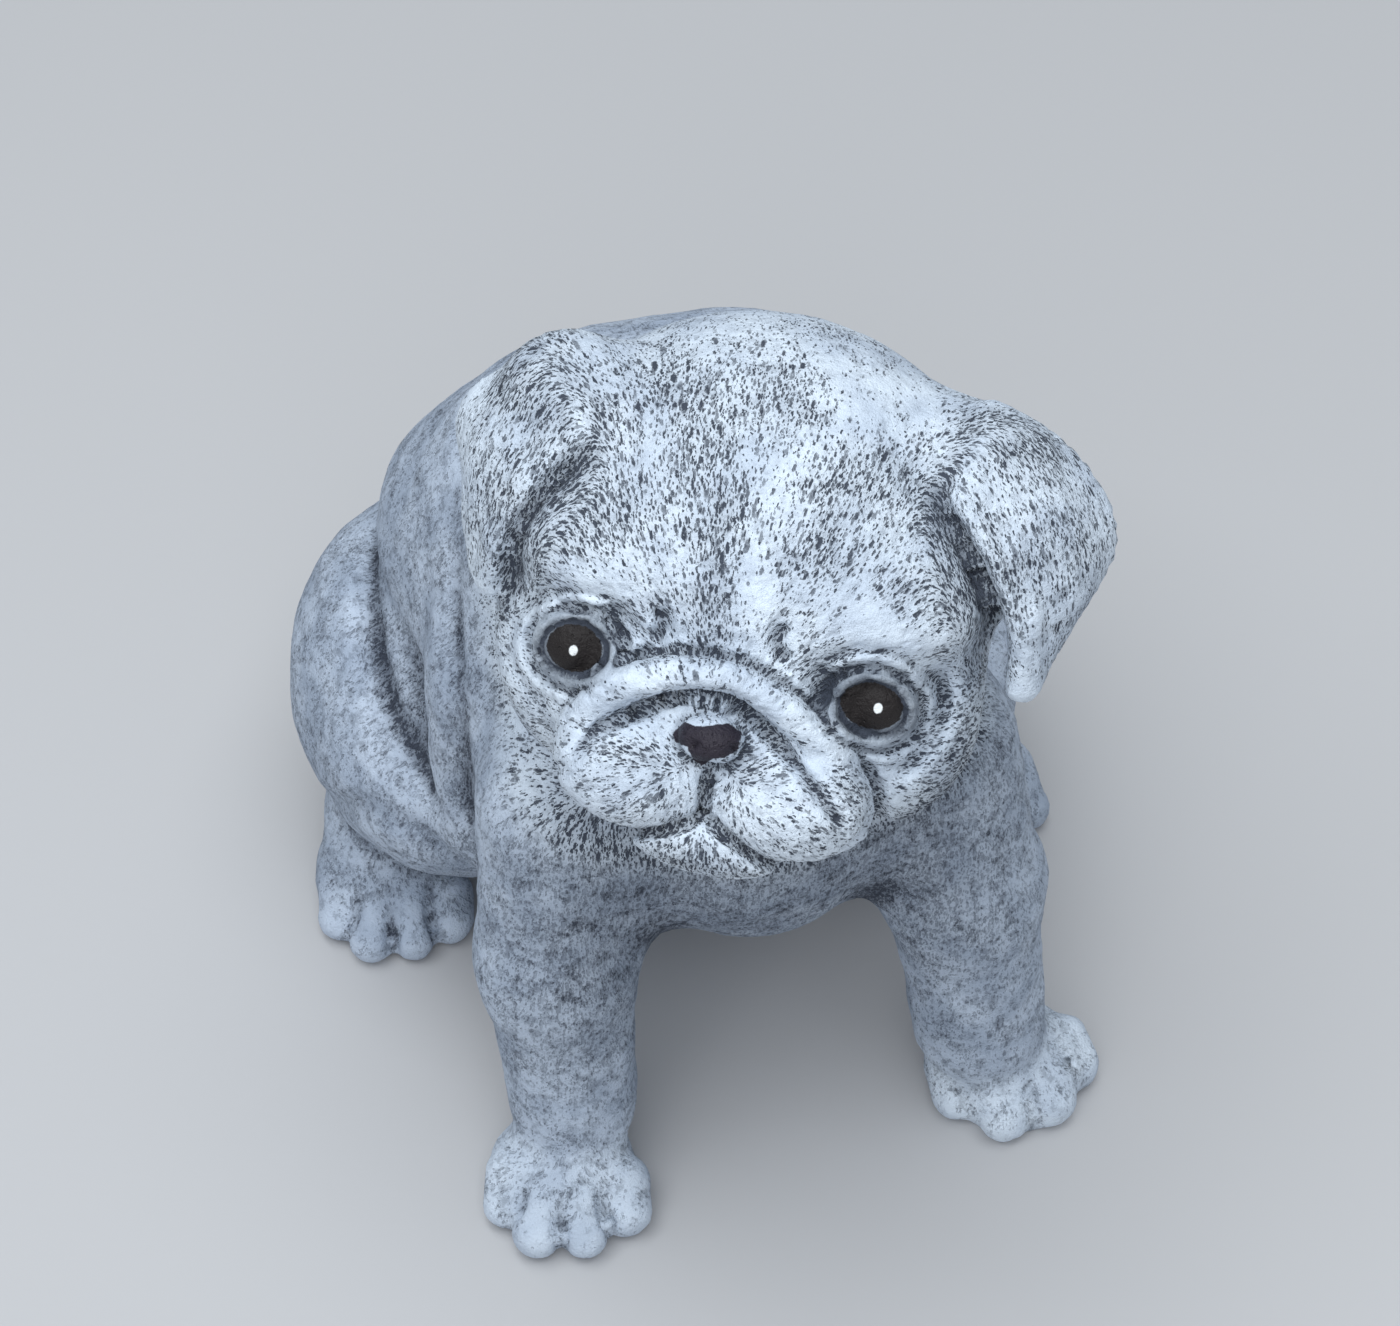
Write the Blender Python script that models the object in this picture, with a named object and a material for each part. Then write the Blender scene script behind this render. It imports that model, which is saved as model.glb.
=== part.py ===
"""A pug puppy sitting up, cast in stone in one piece as a garden figure.

The figure is carved the way a modeller would: round masses are laid down for the
bones and muscles and joined with soft fillets, then folds, wrinkles, lids and the
mouth are pressed in as strokes. The skin is drawn over all of it.

Units: every position and size of the figure is a share of its height, drawn on a
grid of 236 units from the ground to the crown, so at the real height of 236 mm one
unit is one millimetre. +X is the puppy's left, -Y its front, +Z up. The head is
drawn in its own axes, u to its left, v to its back and w up, from the middle of
the skull.
"""

import math

import bmesh
import bpy
import numpy as np
from mathutils import Matrix

HEIGHT = 0.236
GRID = HEIGHT / 236.0

# How the head is held: turned to its right, lifted, and tipped to its left.
HEAD_AT = (0.0, 0.0, 190.0)
HEAD_TURN = math.radians(-20.6)
HEAD_LIFT = math.radians(23.0)
HEAD_TIP = math.radians(7.0)
HEAD_AXES = np.array(
    Matrix.Rotation(HEAD_TURN, 3, "Z") @ Matrix.Rotation(-HEAD_LIFT, 3, "X") @ Matrix.Rotation(HEAD_TIP, 3, "Y")
)

SKIN_STEP = 1.6  # size of the faces that the skin is first made of
BLOCK = 3  # how many of those make one block of the first, coarse search
TRIANGLES = 9550
BOX_LOW = (-100.0, -76.0, -14.0)
BOX_HIGH = (100.0, 170.0, 252.0)


# Forms. Each function gives how far points lie outside a form.


def ball(points, centre, radii, axes=None):
    q = points - np.asarray(centre, float)
    if axes is not None:
        q = q @ axes
    radii = np.asarray(radii, float)
    outer = np.linalg.norm(q / radii, axis=1)
    slope = np.linalg.norm(q / radii**2, axis=1) + 1e-9
    return outer * (outer - 1.0) / slope


def limb(points, start, end, thick_start, thick_end):
    start, end = np.asarray(start, float), np.asarray(end, float)
    along = end - start
    share = np.clip((points - start) @ along / (along @ along), 0.0, 1.0)
    nearest = start + share[:, None] * along
    return np.linalg.norm(points - nearest, axis=1) - (thick_start + share * (thick_end - thick_start))


def sheet(points, lines, thick):
    """A smooth rounded sheet through a few lines, each a row of knots."""
    net = flowing(flowing(lines, 9).transpose(1, 0, 2), 9)
    across, along = np.gradient(net, axis=0), np.gradient(net, axis=1)
    normals = np.cross(across, along).reshape(-1, 3)
    normals /= np.linalg.norm(normals, axis=1)[:, None]
    spots = net.reshape(-1, 3)
    half_gap = 0.5 * max(np.linalg.norm(across, axis=-1).mean(), np.linalg.norm(along, axis=-1).mean())
    far = np.empty(len(points))
    for first in range(0, len(points), 20000):
        part = points[first : first + 20000]
        gaps = (part**2).sum(1)[:, None] - 2 * part @ spots.T + (spots**2).sum(1)[None]
        nearest = gaps.argmin(1)
        offset = part - spots[nearest]
        rise = (offset * normals[nearest]).sum(1)
        slide = np.sqrt(np.maximum((offset**2).sum(1) - rise**2, 0.0))
        far[first : first + 20000] = np.hypot(rise, np.maximum(slide - half_gap, 0.0)) - thick
    return far


def blended(first, second, soft):
    """The union of two forms, with a fillet about as wide as soft."""
    share = np.clip(0.5 + 0.5 * (second - first) / soft, 0.0, 1.0)
    return second * (1.0 - share) + first * share - soft * share * (1.0 - share)


def flowing(knots, steps=4):
    """Points along a smooth curve through the knots."""
    knots = np.asarray(knots, float)
    ends = np.concatenate((2 * knots[:1] - knots[1:2], knots, 2 * knots[-1:] - knots[-2:-1]))
    line = []
    for a, b, c, d in zip(ends, ends[1:], ends[2:], ends[3:]):
        for t in np.arange(steps) / steps:
            line.append(0.5 * (2 * b + (c - a) * t + (2 * a - 5 * b + 4 * c - d) * t**2 + (3 * b - a - 3 * c + d) * t**3))
    return np.array(line + [knots[-1]])


def stroke(points, knots, width, depth):
    """How far a stroke along the knots presses the skin in, fading out at its two ends."""
    line = flowing(knots)
    reach = 2.6 * width
    near = np.all((points > line.min(0) - reach) & (points < line.max(0) + reach), axis=1)
    pressed = np.zeros(len(points))
    if not near.any():
        return pressed
    close = points[near]
    best = np.full(len(close), np.inf)
    place = np.zeros(len(close))
    for number, (start, end) in enumerate(zip(line, line[1:])):
        along = end - start
        share = np.clip((close - start) @ along / max(along @ along, 1e-9), 0.0, 1.0)
        gap = np.linalg.norm(close - start - share[:, None] * along, axis=1)
        here = gap < best
        best[here] = gap[here]
        place[here] = (number + share[here]) / (len(line) - 1)
    taper = np.clip(5.0 * np.minimum(place, 1.0 - place), 0.3, 1.0)
    pressed[near] = depth * taper * np.exp(-((best / width) ** 2))
    return pressed


# The head, in its own axes.

MIDDLE_OF_FACE = -45.0
SLANT = (0.008, -0.514)

EYES = {-1: (-29.6, -31.0, -8.0), 1: (28.6, -31.0, -7.4)}
EYEBALL = 8.4
LID_RINGS = ((5.9, 0.6, 0.6), (7.2, 1.0, -1.4), (8.9, 0.8, 0.7), (10.7, 1.2, -0.9), (12.8, 1.5, 0.8))

RIGHT_EAR = (
    ((-37.5, -19, 29), (-44.5, -22, 17), (-48, -20, 4), (-49, -16, -7)),
    ((-44.0, -12, 32), (-53.5, -13, 19), (-54.5, -12, 5), (-52, -12, -6)),
    ((-49.0, 1, 31), (-59.5, 2, 18), (-55.5, -3, 6), (-51, -9, -4)),
)
LEFT_EAR = (
    ((38.5, -19.5, 30), (46.5, -21.5, 22), (53, -20.5, 10), (56, -17, -5)),
    ((40.0, -8, 36), (53.0, -12, 29), (60.5, -13, 15), (57.5, -14, -3)),
    ((40.0, 4, 38), (55.5, 3, 32), (65.0, -2, 20), (59.0, -11, 2)),
)


def in_head(points):
    return (points - np.array(HEAD_AT)) @ HEAD_AXES


def across_face(q):
    """Places on a plane across the face, straight behind one another as seen from a little above."""
    deep = q[:, 1] - MIDDLE_OF_FACE
    return np.stack((q[:, 0] - SLANT[0] * deep, q[:, 2] - SLANT[1] * deep), axis=1)


def skull(q):
    far = ball(q, (0, 4, 3), (49, 49, 44))
    far = blended(far, ball(q, (0, -6, -18), (47, 36, 29)), 12)
    for side in (-1, 1):
        far = blended(far, ball(q, (side * 28, -24.5, 9), (15, 12, 8)), 12)
        far = blended(far, ball(q, (side * 27 + 3, -13, -23), (19, 21, 19)), 8)
    return far


def muzzle(q):
    far = ball(q, (0, -28, -22), (33, 23, 21))
    for side in (-1, 1):
        far = blended(far, ball(q, (1.2 + side * 14.0, -43.5, -27.0), (16.5, 13.5, 12.5)), 3)
    far = blended(far, ball(q, (3.0, -41, -37), (19, 13.5, 9.3)), 2)
    arch = flowing(
        ((-20.5, -35, -38.5), (-24.3, -37.5, -32.5), (-26.6, -39.8, -25), (-23.5, -43, -15),
         (-16, -45.5, -7.5), (0, -47.3, -2.5), (16.5, -44.5, -9.5), (24, -42, -17), (29.6, -38.8, -25.5), (29.6, -36, -33), (24.5, -34.5, -38.5)),
        2,
    )
    roll = None
    for start, end in zip(arch, arch[1:]):
        piece = limb(q, start, end, 4.3, 4.3)
        roll = piece if roll is None else np.minimum(roll, piece)
    far = blended(far, roll, 3)
    return blended(far, ball(q, (-0.1, -50.3, -14.4), (6.4, 5.4, 4.4)), 1.5)


def face_strokes(q):
    seen = across_face(q)
    crease = ((-27.6, -30.3), (-25, -26.3), (-21.9, -21.1), (-16.8, -16.4), (-11.2, -11.7),
              (-7.4, -9.3), (-1.6, -7.9), (3.8, -8.6), (9.4, -12.7), (16.3, -18.5), (22.8, -24.4), (27, -29), (27.6, -32.5))
    above = ((-31.2, -25.3), (-30.2, -19.6), (-27.4, -13.9), (-22.9, -7.8), (-16.6, -2.6),
             (-9.3, -0.2), (-1.8, 0.7), (5.6, -0.3), (12.4, -3), (18.4, -7.2), (23.9, -12.5), (29.3, -18.6), (32.5, -23.2))
    pressed = stroke(seen, crease, 1.6, 2.6)
    pressed += stroke(seen, above, 1.6, 1.3)
    pressed += stroke(seen, ((-25, 7.9), (-22.1, 2.3), (-21, -3.2)), 2.4, 2.3)
    pressed += stroke(seen, ((18.4, 4.4), (17.9, -1.1), (20.1, -6.6)), 2.4, 2.3)
    pressed += stroke(seen, ((-14.7, 8.6), (-13.5, 4), (-15.1, -0.3)), 1.8, 2.2)
    pressed += stroke(seen, ((8.8, 11.2), (8.3, 5.7), (11.7, 1.8)), 1.8, 2.2)
    pressed += stroke(seen, ((-1.8, 4.9), (-3, 12.2), (-2.5, 20.8), (-3.4, 33.2)), 4.5, 1.0)
    pressed += stroke(seen, ((0.5, -22.8), (0.9, -28.6), (1.2, -33.6)), 1.2, 2.8)
    pressed += stroke(seen, ((-24.3, -36.9), (-18.7, -39.8), (-12.6, -40.6), (-6.4, -38.9),
                             (-1.6, -36.1), (1.2, -33.4)), 1.2, 2.8)
    pressed += stroke(seen, ((1.2, -33.4), (4.7, -35.7), (9.2, -38.4), (13.4, -40.3), (17.9, -40.8),
                             (22.8, -39.7)), 1.2, 2.8)
    pressed += stroke(seen, ((36.9, 9.9), (40.3, 5.4), (41.3, 0.2), (39.9, -6.3), (37.6, -13.1),
                             (34.5, -18.6)), 2.2, 2.2)
    pressed += stroke(seen, ((-38.4, -14.5), (-34.3, -19.5), (-31.2, -25.3)), 2.2, 1.2)
    pressed += stroke(seen, ((26.6, -11.5), (30.4, -17.0), (33.2, -22.5), (34.2, -28.0),
                             (33.4, -33.0)), 1.8, 1.8)
    pressed += stroke(seen, ((-3.3, -18.6), (-2.3, -19.3)), 1.1, 1.6)
    pressed += stroke(seen, ((4.3, -18.7), (5.3, -18.0)), 1.1, 1.6)
    return np.where(q[:, 1] < -12, pressed, 0.0)


def with_eyes(q, far):
    seen = across_face(q)
    for side in (-1, 1):
        centre = np.array(EYES[side])
        middle = np.array((centre[0], centre[2] - SLANT[1] * (MIDDLE_OF_FACE + 38.0) * -1.0))
        offset = (seen - middle) / np.array((1.08, 0.98))
        ring = np.hypot(offset[:, 0], offset[:, 1])
        front = (q[:, 1] < -14).astype(float)
        to_nose = (-side * offset[:, 0] - offset[:, 1]) / (1.42 * ring + 1e-9)
        clear = front * np.clip(1.2 - 1.4 * to_nose, 0.0, 1.0)
        far = far + clear * 1.6 * np.exp(-(((ring - 9.4) / 1.7) ** 2))
        far = blended(far, ball(q, centre, (EYEBALL,) * 3), 0.8)
        for reach, width, depth in LID_RINGS:
            far = far + (front if reach < 8.0 else clear) * depth * np.exp(-(((ring - reach) / width) ** 2))
    return far


def ear(q, lines):
    """An ear folded forward: a sheet between its front edge, its middle and its rear edge."""
    lines = np.array(lines, float)
    far = np.linalg.norm(q - lines.mean((0, 1)), axis=1) - 28.0
    near = far < 12.0
    flap = sheet(q[near], lines, 3.2)
    for start, end in zip(lines[0], lines[0][1:]):
        flap = blended(flap, limb(q[near], start, end, 3.9, 3.9), 1.5)
    far[near] = flap
    return far


def head(points):
    q = in_head(points)
    far = blended(skull(q), muzzle(q), 4)
    far = with_eyes(q, far) + face_strokes(q)
    far = blended(far, ball(q, (-36, -6, 29), (16, 16, 8.5)), 8)
    far = blended(far, ball(q, (38, 1, 31), (16, 17, 9)), 9)
    for side, lines in ((-1, RIGHT_EAR), (1, LEFT_EAR)):
        far = blended(far, ball(q, (side * 43, -1, 20), (13, 15, 19)), 8)
        far = blended(far, ear(q, lines), 2.5)
    groove = ((36.1, 48.7), (39.6, 43.9), (44.4, 38.8), (47.9, 33.3), (50.9, 27.1), (53.4, 20.7),
              (55.2, 16.5))
    right_fold = ((-36.3, 36.8), (-38.7, 32.9), (-41, 28.6), (-43.2, 23.3), (-45, 17.8), (-46.1, 12.3),
                  (-46.9, 6.5))
    left_fold = ((32.4, 44), (36.4, 38.8), (39.7, 34.1), (43.1, 29.3), (46.2, 24.3), (48.6, 19.1),
                 (50.6, 13.9), (52.4, 7.9))
    seen = across_face(q)
    pressed = stroke(seen, groove, 1.6, 1.2) + stroke(seen, right_fold, 1.5, 2.4) + stroke(seen, left_fold, 1.6, 3.0)
    return far + np.where(q[:, 1] < -8, pressed, 0.0)


# The body, standing on the ground.

FORE_LEGS = {
    -1: dict(
        shoulder=(-37, 9, 112),
        elbow=(-42.3, 3, 70),
        wrist=(-40.5, -2, 24),
        thick=(20, 16.3, 14.2),
        heel=(-45.0, -10.3, 6.5),
        facing=-10,
        toes=((-58.6, -14.5, 5.5), (-53.5, -23.8, 5.9), (-43.8, -25.8, 6.0), (-33.4, -22.3, 6.1)),
    ),
    1: dict(
        shoulder=(40, 9, 112),
        elbow=(48.5, 3, 70),
        wrist=(53, -2, 24),
        thick=(20, 16.6, 14.8),
        heel=(60.6, -4, 6.5),
        facing=13,
        toes=((46.8, -8.8, 5.8), (55.8, -16.8, 6.2), (66.6, -15.2, 6.2), (75.2, -6.5, 5.7)),
    ),
}
HIND_TOES = ((-80.2, 73, 5.6), (-74.2, 65.4, 5.9), (-65.2, 63.4, 6.0), (-56.0, 66.2, 6.0))


def paw(points, heel, toes, wide, facing):
    """A blocky paw: a rounded back and four short toes side by side the way it faces."""
    ahead_x, ahead_y = math.sin(math.radians(facing)), -math.cos(math.radians(facing))
    far = ball(points, heel, (wide, wide, 13.0))
    for x, y, r in toes:
        knuckle = (0.93 * x + 0.07 * heel[0] - 5.0 * ahead_x, y - 5.0 * ahead_y, 9.0)
        far = blended(far, limb(points, knuckle, (x, y, r * 0.96), r * 1.08, r), 1.5)
    for (x, y, _), (next_x, next_y, _) in zip(toes, toes[1:]):
        gap_x, gap_y = 0.5 * (x + next_x), 0.5 * (y + next_y)
        start = (gap_x - 2.5 * ahead_x, gap_y - 2.5 * ahead_y, 15.0)
        middle = (gap_x + 1.0 * ahead_x, gap_y + 1.0 * ahead_y, 12.0)
        end = (gap_x + 4.5 * ahead_x, gap_y + 4.5 * ahead_y, 3.0)
        far = far + stroke(points, (start, middle, end), 1.6, 2.5)
    return far


def fore_leg(points, shoulder, elbow, wrist, thick, heel, toes, facing):
    far = limb(points, shoulder, elbow, thick[0], thick[1])
    far = blended(far, limb(points, elbow, wrist, thick[1], thick[2]), 8)
    return blended(far, paw(points, heel, toes, 16.8, facing), 6)


def hind_leg(points, side):
    far = ball(points, (side * 47, 92, 60), (38, 44, 47))
    far = blended(far, ball(points, (side * 50, 66, 65), (27, 28, 22)), 12)
    far = blended(far, limb(points, (side * 62, 92, 30), (side * 68, 84, 16), 17, 14), 5)
    shift = (side + 1) * 2.2
    toes = [(side * -x + shift, y - shift, r) for x, y, r in HIND_TOES]
    return blended(far, paw(points, (side * 68 + shift, 81 - shift, 7.5), toes, 17.0, side * 12), 4)


def tail(points):
    """A short tail, curled once on the rump."""
    turns = np.radians(np.linspace(-100, 215, 12))
    reach = np.linspace(12.5, 7.5, 12)[:, None]
    curl = np.array((3.0, 142.5, 74.0)) + reach * (
        np.cos(turns)[:, None] * np.array((1, 0, 0)) + np.sin(turns)[:, None] * np.array((0, -0.35, 0.94))
    )
    curl[:, 1] += np.linspace(-1.0, 3.0, 12)
    thick = np.linspace(8.0, 4.6, 12)
    far = None
    for start, end, wide, narrow in zip(curl, curl[1:], thick, thick[1:]):
        piece = limb(points, start, end, wide, narrow)
        far = piece if far is None else np.minimum(far, piece)
    return far


def torso(points):
    far = ball(points, (2, 26, 109), (46, 42, 46))
    far = blended(far, ball(points, (6, 14, 82), (15, 18, 17)), 12)
    far = blended(far, ball(points, (0, 78, 86), (59, 66, 68)), 22)
    far = blended(far, ball(points, (0, 92, 46), (50, 48, 48)), 12)
    far = blended(far, limb(points, (0, 54, 126), (0, 17, 174), 54, 36), 14)
    for side in (-1, 1):
        far = blended(far, limb(points, (side * 40, 46, 112), (side * 42, 42, 78), 20, 19), 10)
        far = blended(far, ball(points, (side * 19, 81, 126), (35, 34, 34)), 12)
        far = blended(far, ball(points, (side * 33, 91, 110), (29, 33, 24)), 14)
    return blended(far, tail(points), 2.5)


def body_strokes(points):
    pressed = np.zeros(len(points))
    for side in (-1, 1):
        flank = ((56, 113, 104), (60, 103, 103), (63, 94, 100), (66, 82, 95.5), (67, 74, 91.5),
                 (66.5, 66, 88), (64.5, 55, 84), (60.5, 40, 80))
        flank = [(side * x, y, z) for x, y, z in flank]
        fore = [(side * x, y, z) for x, y, z in ((51, 56, 138), (54, 45, 128), (56, 35, 119),
                                                 (57, 32.5, 107), (57, 31.5, 92), (56, 29, 78))]
        thigh = ((80, 91, 28), (80.5, 78, 42), (78.5, 66, 56), (74, 54, 67), (70, 48.5, 70),
                 (63, 41.5, 67), (56.5, 38, 62))
        thigh = [(side * x, y, z) for x, y, z in thigh]
        back = [(side * x, y, z) for x, y, z in ((48, 118, 108), (56, 106, 104), (59, 92, 106),
                                                 (60, 80, 104))]
        pressed += stroke(points, flank, 4.6, 1.6) + stroke(points, flank[2:], 3.6, 1.6)
        pressed += stroke(points, flank[3:], 2.4, 1.8)
        pressed += stroke(points, fore, 3.8, 3.2) + stroke(points, fore, 1.8, 1.4) + stroke(points, back, 4.0, 1.2)
        pressed += stroke(points, thigh, 3.2, 1.8)
    return pressed


def figure(points):
    far = torso(points)
    for side in (-1, 1):
        far = blended(far, fore_leg(points, **FORE_LEGS[side]), 13)
        far = blended(far, hind_leg(points, side), 6)
    far = far + body_strokes(points)
    top = np.linalg.norm(points - np.array(HEAD_AT), axis=1) - 78.0
    near = top < 12.0
    top[near] = head(points[near])
    return blended(far, top, 4)


# The skin over the forms.


def sampled(step):
    """How far the points of a lattice lie outside the figure; only those near its skin exactly."""
    low = np.array(BOX_LOW)
    count = np.ceil((np.array(BOX_HIGH) - low) / (step * BLOCK)).astype(int)
    corners = np.stack(np.meshgrid(*[np.arange(n) for n in count], indexing="ij"), -1).reshape(-1, 3)
    middles = low + (corners + 0.5) * step * BLOCK
    rough = figure(middles)
    values = np.repeat(np.repeat(np.repeat(rough.reshape(count), BLOCK, 0), BLOCK, 1), BLOCK, 2)
    near = np.abs(values) < 0.87 * step * BLOCK + 3.5
    places = np.argwhere(near)
    values[near] = figure(low + places * step)
    return values, low


def untangled(values, step):
    """Fills the lattice where two runs of the skin would touch along a line or at a point."""
    fill = -0.05 * step
    for _ in range(8):
        inside = values < 0
        tight = np.zeros(values.shape, bool)
        for first, second in ((0, 1), (0, 2), (1, 2)):
            low, high = [slice(None)] * 3, [slice(None)] * 3
            low[first], high[first] = slice(None, -1), slice(1, None)
            sides = []
            for end in (slice(None, -1), slice(1, None)):
                low[second] = high[second] = end
                sides += [tuple(low), tuple(high)]
            a, b, c, d = (inside[side] for side in sides)
            knot = (a == d) & (b == c) & (a != b)
            for side in sides:
                tight[side] |= knot
        ends = (slice(None, -1), slice(1, None))
        cube = [(x, y, z) for x in ends for y in ends for z in ends]
        held = sum(inside[corner].astype(int) for corner in cube)
        for corner, opposite in zip(cube[:4], cube[:3:-1]):
            both = inside[corner] & inside[opposite]
            neither = ~inside[corner] & ~inside[opposite]
            knot = (both & (held == 2)) | (neither & (held == 6))
            for place in cube:
                tight[place] |= knot
        tight &= ~inside
        if not tight.any():
            break
        values[tight] = fill
    return values


def skinned(step):
    """Corners and four-sided faces of the skin, one corner in each lattice cell that it crosses."""
    values, low = sampled(step)
    values = untangled(values, step)
    inside = values < 0
    total = np.zeros(tuple(n - 1 for n in values.shape) + (3,))
    crossings = np.zeros(total.shape[:3])
    crossed = []
    for axis in range(3):
        first = [slice(None)] * 3
        second = [slice(None)] * 3
        first[axis], second[axis] = slice(None, -1), slice(1, None)
        first, second = tuple(first), tuple(second)
        places = np.argwhere(inside[first] != inside[second])
        near_value = values[first][tuple(places.T)]
        far_value = values[second][tuple(places.T)]
        spots = places.astype(float)
        spots[:, axis] += near_value / (near_value - far_value)
        others = [n for n in range(3) if n != axis]
        for back in ((0, 0), (1, 0), (1, 1), (0, 1)):
            cell = places.copy()
            cell[:, others[0]] -= back[0]
            cell[:, others[1]] -= back[1]
            np.add.at(total, tuple(cell.T), spots)
            np.add.at(crossings, tuple(cell.T), 1)
        crossed.append((axis, others, places, inside[first][tuple(places.T)]))
    cells = np.argwhere(crossings > 0)
    number = np.full(crossings.shape, -1)
    number[tuple(cells.T)] = np.arange(len(cells))
    corners = low + step * total[tuple(cells.T)] / crossings[tuple(cells.T)][:, None]
    faces = []
    for axis, others, places, starts_inside in crossed:
        ring = []
        for back in ((0, 0), (1, 0), (1, 1), (0, 1)):
            cell = places.copy()
            cell[:, others[0]] -= back[0]
            cell[:, others[1]] -= back[1]
            ring.append(number[tuple(cell.T)])
        ring = np.stack(ring, 1)
        flip = starts_inside if axis != 1 else ~starts_inside
        ring[flip] = ring[flip][:, ::-1]
        faces.append(ring[:, ::-1])
    return corners, np.concatenate(faces)


def drawn_down(corners, rounds=2, reach=0.4):
    """Moves corners square on to the skin."""
    for _ in range(rounds):
        far = figure(corners)
        slope = np.stack([figure(corners + reach * side) - far for side in np.eye(3)], 1) / reach
        steep = np.maximum((slope**2).sum(1), 0.3)
        corners = corners - slope * np.clip(far / steep, -1.0, 1.0)[:, None]
    return corners


def make_skin():
    corners, faces = skinned(SKIN_STEP)
    mesh = bpy.data.meshes.new("pug")
    mesh.from_pydata(drawn_down(corners).tolist(), [], faces.tolist())
    pug = bpy.data.objects.new("pug", mesh)
    bpy.context.scene.collection.objects.link(pug)
    return pug


def baked(pug):
    """Applies the object's modifiers."""
    graph = bpy.context.evaluated_depsgraph_get()
    graph.update()
    mesh = bpy.data.meshes.new_from_object(pug.evaluated_get(graph))
    pug.modifiers.clear()
    pug.data = mesh
    return pug


def thinned(pug, triangles):
    """Fewer, larger faces, kept small where the form turns sharply and over the face."""
    mesh = pug.data
    corners = np.array([vertex.co for vertex in mesh.vertices])
    q = in_head(corners)
    in_face = np.linalg.norm((q - np.array((0, -50, -12))) / np.array((46, 30, 38)), axis=1)
    loose = np.clip(in_face - 0.35, 0.0, 1.0) ** 0.5
    group = pug.vertex_groups.new(name="loose")
    for level in range(11):
        at_level = np.flatnonzero(np.round(loose * 10) == level)
        group.add(at_level.tolist(), 0.05 + 0.095 * level, "REPLACE")
    thin = pug.modifiers.new("thin", "DECIMATE")
    thin.ratio = triangles / sum(len(face.vertices) - 2 for face in mesh.polygons)
    thin.vertex_group = "loose"
    thin.vertex_group_factor = 0.6
    return baked(pug)


def outer_body(shape):
    """Leaves only what hangs together with the crown of the head."""
    reached = {max(shape.verts, key=lambda vertex: vertex.co.z)}
    ring = list(reached)
    while ring:
        vertex = ring.pop()
        for edge in vertex.link_edges:
            other = edge.other_vert(vertex)
            if other not in reached:
                reached.add(other)
                ring.append(other)
    bmesh.ops.delete(shape, geom=[vertex for vertex in shape.verts if vertex not in reached], context="VERTS")


def stood_up(pug):
    """Cuts the feet and the seat flat on the ground, and brings the figure to its real size, its box over the origin."""
    shape = bmesh.new()
    shape.from_mesh(pug.data)
    outer_body(shape)
    everything = list(shape.verts) + list(shape.edges) + list(shape.faces)
    bmesh.ops.bisect_plane(shape, geom=everything, dist=0.02, plane_co=(0, 0, 0), plane_no=(0, 0, -1), clear_outer=True)
    rims = [edge for edge in shape.edges if edge.is_boundary]
    bmesh.ops.holes_fill(shape, edges=rims, sides=0)
    bmesh.ops.triangulate(shape, faces=[face for face in shape.faces if len(face.verts) > 3])
    places = np.array([vertex.co for vertex in shape.verts])
    middle = (places.min(0) + places.max(0)) / 2
    for vertex, place in zip(shape.verts, places):
        vertex.co = (place - (middle[0], middle[1], 0.0)) * GRID
    for face in shape.faces:
        face.smooth = True
    shape.to_mesh(pug.data)
    shape.free()
    return middle


def cast_stone():
    material = bpy.data.materials.new("cast_stone")
    material.use_nodes = True
    shader = material.node_tree.nodes["Principled BSDF"]
    shader.inputs["Base Color"].default_value = (0.52, 0.56, 0.62, 1.0)
    shader.inputs["Roughness"].default_value = 0.85
    return material


def main():
    for old in list(bpy.data.objects):
        bpy.data.objects.remove(old)
    pug = thinned(make_skin(), TRIANGLES)
    stood_up(pug)
    pug.data.materials.append(cast_stone())
    return pug


if __name__ == "__main__":
    main()
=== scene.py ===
"""A pug puppy sitting up, cast in stone: the carved coat and the paint of the casting.

The casting's forms are the same as those of the solid, in the same units: positions
and sizes are on a grid of 236 units over the figure's height. The skin is drawn on
to them more finely, the small strokes of the face and the pits of the coat are cut
into it, and the grey wash, the dry-brushed lights and the black of the eyes and the
nose are laid on as colour. Shade is painted on too, under the chin, on the chest,
beside the ears, round the eyes, in the folds and wide hollows and on the hind paws,
and painted light on the lit paws, the brow ridges and the crown.
"""

import math

import bmesh
import bpy
import numpy as np
from mathutils import Matrix, Vector, kdtree, noise


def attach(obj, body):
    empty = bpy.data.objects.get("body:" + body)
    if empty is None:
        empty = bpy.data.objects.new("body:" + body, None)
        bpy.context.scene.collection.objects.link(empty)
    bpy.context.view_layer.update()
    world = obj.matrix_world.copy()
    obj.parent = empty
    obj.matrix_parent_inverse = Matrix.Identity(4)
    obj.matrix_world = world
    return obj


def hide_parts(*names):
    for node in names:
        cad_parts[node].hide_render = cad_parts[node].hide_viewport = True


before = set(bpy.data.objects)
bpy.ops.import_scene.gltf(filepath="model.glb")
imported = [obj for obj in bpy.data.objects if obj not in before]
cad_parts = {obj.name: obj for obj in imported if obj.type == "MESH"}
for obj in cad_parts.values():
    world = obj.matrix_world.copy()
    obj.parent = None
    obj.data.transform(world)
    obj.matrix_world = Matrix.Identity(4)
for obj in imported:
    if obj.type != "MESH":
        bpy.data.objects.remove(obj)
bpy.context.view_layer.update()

GRID = 0.001  # metres to a unit of the grid
EVEN_SPACING = 2.28  # between the corners of the body's skin
MIDDLE = np.array((2.20100403, 43.93386078, 0.0))  # the middle of the casting on the grid

HEAD_AT = (0.0, 0.0, 190.0)
HEAD_TURN = math.radians(-20.6)
HEAD_LIFT = math.radians(23.0)
HEAD_TIP = math.radians(7.0)
HEAD_AXES = np.array(
    Matrix.Rotation(HEAD_TURN, 3, "Z")
    @ Matrix.Rotation(-HEAD_LIFT, 3, "X")
    @ Matrix.Rotation(HEAD_TIP, 3, "Y")
)

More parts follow.
